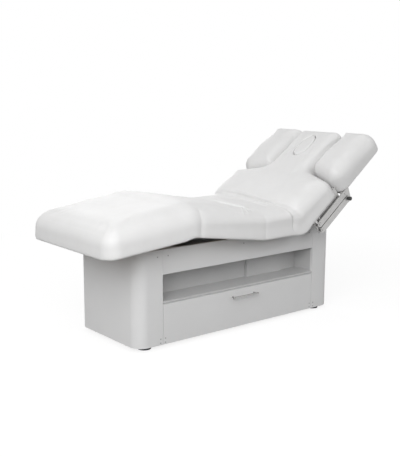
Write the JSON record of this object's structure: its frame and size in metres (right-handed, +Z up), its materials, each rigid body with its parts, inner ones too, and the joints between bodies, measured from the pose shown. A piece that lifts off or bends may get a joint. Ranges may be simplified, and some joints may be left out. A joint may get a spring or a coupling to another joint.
{
  "type": "spa bed with cabinet base",
  "caption": "Padded spa bed in hinged leg, thigh, seat and back sections with arm pads on parallel links, on a lifting cabinet base with an open niche and a drawer.",
  "frame": {"origin": "on the floor, at the middle of the length and width of the box around the bed as it stands in the picture", "axes": "+X towards the head end, +Y towards the back of the cabinet, so -Y is the drawer side, +Z up"},
  "size_m": [1.9359, 0.816, 1.0637],
  "materials": {
    "laminate_white": "white melamine on chipboard, satin, thin edge band",
    "board_raw": "raw plywood, hidden under the pads",
    "upholstery": "white faux leather over foam, satin with fine pebble grain",
    "frame_black": "black powder coat, fine texture",
    "lift_metal": "brushed extrusion, grey",
    "linkage_steel": "zinc-plated flat bar, dull",
    "handle_steel": "satin stainless steel",
    "runner_steel": "zinc-plated, dull",
    "foot_black": "black moulded foot, matt",
    "plastic_black": "black moulded plastic, matt",
    "cap_grey": "light grey press-in cap, matt"
  },
  "bodies": {
    "cabinet": {"foot_end_shell": "laminate_white", "head_end_shell": "laminate_white", "top_rail": "laminate_white", "back_panel": "laminate_white", "base_board": "board_raw", "bay_floor": "laminate_white", "shelf_board": "laminate_white", "niche_back": "laminate_white", "partitions": "laminate_white", "service_cover": "laminate_white", "foot_top_board": "laminate_white", "levelling_feet": "foot_black", "screw_caps": "cap_grey", "drawer_runners": "runner_steel", "mains_inlet": "plastic_black", "column_base": "lift_metal", "column_outer": "lift_metal"},
    "lift_stage": {"column_middle": "lift_metal"},
    "seat": {"column_inner": "lift_metal", "seat_rails": "frame_black", "seat_cross_tubes": "frame_black", "seat_board": "board_raw", "seat_cushion": "upholstery", "seat_hinge_pins": "runner_steel"},
    "thigh": {"thigh_rails": "frame_black", "thigh_cross_tube": "frame_black", "thigh_board": "board_raw", "thigh_cushion": "upholstery", "knee_pins": "runner_steel"},
    "leg": {"leg_bars": "frame_black", "leg_cross_bar": "frame_black", "leg_board": "board_raw", "leg_cushion": "upholstery"},
    "back": {"back_rails": "frame_black", "back_cross_tube": "frame_black", "back_board": "board_raw", "back_cushion": "upholstery", "front_arm_plate": "linkage_steel", "rear_arm_plate": "linkage_steel"},
    "plug": {"face_plug": "upholstery"},
    "drawer": {"drawer_front": "laminate_white", "drawer_box": "laminate_white", "drawer_handle": "handle_steel", "drawer_slides": "runner_steel", "drawer_caps": "cap_grey"},
    "front_upper_link": {"front_upper_link": "linkage_steel"},
    "front_lower_link": {"front_lower_link": "linkage_steel"},
    "front_arm": {"front_arm_carrier": "linkage_steel", "front_arm_board": "board_raw", "front_arm_pad": "upholstery"},
    "front_knob": {"front_lock_knob": "plastic_black"},
    "rear_upper_link": {"rear_upper_link": "linkage_steel"},
    "rear_lower_link": {"rear_lower_link": "linkage_steel"},
    "rear_arm": {"rear_arm_carrier": "linkage_steel", "rear_arm_board": "board_raw", "rear_arm_pad": "upholstery"},
    "rear_knob": {"rear_lock_knob": "plastic_black"}
  },
  "joints": [
    {"name": "lift_lower", "type": "slide", "parent": "cabinet", "child": "lift_stage", "axis": [0, 0, 1], "range_m": [0, 0.15]},
    {"name": "lift_upper", "type": "slide", "parent": "lift_stage", "child": "seat", "axis": [0, 0, 1], "range_m": [0, 0.15]},
    {"name": "thigh_hinge", "type": "hinge", "parent": "seat", "child": "thigh", "pos_m": [0.03006, 0, 0.527], "axis": [0, 1, 0], "range_deg": [-8.5, 25.5]},
    {"name": "knee_hinge", "type": "hinge", "parent": "thigh", "child": "leg", "pos_m": [-0.41698, 0, 0.59381], "axis": [0, -1, 0], "range_deg": [-13.6, 40.8]},
    {"name": "back_hinge", "type": "hinge", "parent": "seat", "child": "back", "pos_m": [0.33406, 0, 0.527], "axis": [0, -1, 0], "range_deg": [-38, 27]},
    {"name": "face_plug_lift", "type": "slide", "parent": "back", "child": "plug", "axis": [-0.6157, 0, 0.788], "range_m": [0, 0.15]},
    {"name": "front_arm_swing", "type": "hinge", "parent": "back", "child": "front_upper_link", "pos_m": [0.46959, -0.383, 0.55168], "axis": [0, -1, 0], "range_deg": [-15, 6]},
    {"name": "front_lower_link_swing", "type": "hinge", "parent": "back", "child": "front_lower_link", "pos_m": [0.49607, -0.383, 0.51779], "axis": [0, -1, 0], "range_deg": [-15, 6]},
    {"name": "front_arm_level", "type": "hinge", "parent": "front_upper_link", "child": "front_arm", "pos_m": [0.67763, -0.383, 0.71421], "axis": [0, -1, 0], "range_deg": [-6, 15]},
    {"name": "front_knob_turn", "type": "hinge", "parent": "front_arm", "child": "front_knob", "pos_m": [0.7041, -0.383, 0.68033], "axis": [0, -1, 0], "range_deg": [-90, 90]},
    {"name": "rear_arm_swing", "type": "hinge", "parent": "back", "child": "rear_upper_link", "pos_m": [0.46959, 0.383, 0.55168], "axis": [0, -1, 0], "range_deg": [-15, 6]},
    {"name": "rear_lower_link_swing", "type": "hinge", "parent": "back", "child": "rear_lower_link", "pos_m": [0.49607, 0.383, 0.51779], "axis": [0, -1, 0], "range_deg": [-15, 6]},
    {"name": "rear_arm_level", "type": "hinge", "parent": "rear_upper_link", "child": "rear_arm", "pos_m": [0.67763, 0.383, 0.71421], "axis": [0, -1, 0], "range_deg": [-6, 15]},
    {"name": "rear_knob_turn", "type": "hinge", "parent": "rear_arm", "child": "rear_knob", "pos_m": [0.7041, 0.383, 0.68033], "axis": [0, -1, 0], "range_deg": [-90, 90]},
    {"name": "drawer_slide", "type": "slide", "parent": "cabinet", "child": "drawer", "axis": [0, -1, 0], "range_m": [0, 0.15]}
  ],
  "couplings": [
    {"joint": "lift_upper", "follows": "lift_lower", "ratio": 1},
    {"joint": "knee_hinge", "follows": "thigh_hinge", "ratio": 1.6},
    {"joint": "front_lower_link_swing", "follows": "front_arm_swing", "ratio": 1},
    {"joint": "front_arm_level", "follows": "front_arm_swing", "ratio": -1},
    {"joint": "rear_lower_link_swing", "follows": "rear_arm_swing", "ratio": 1},
    {"joint": "rear_arm_level", "follows": "rear_arm_swing", "ratio": -1}
  ]
}
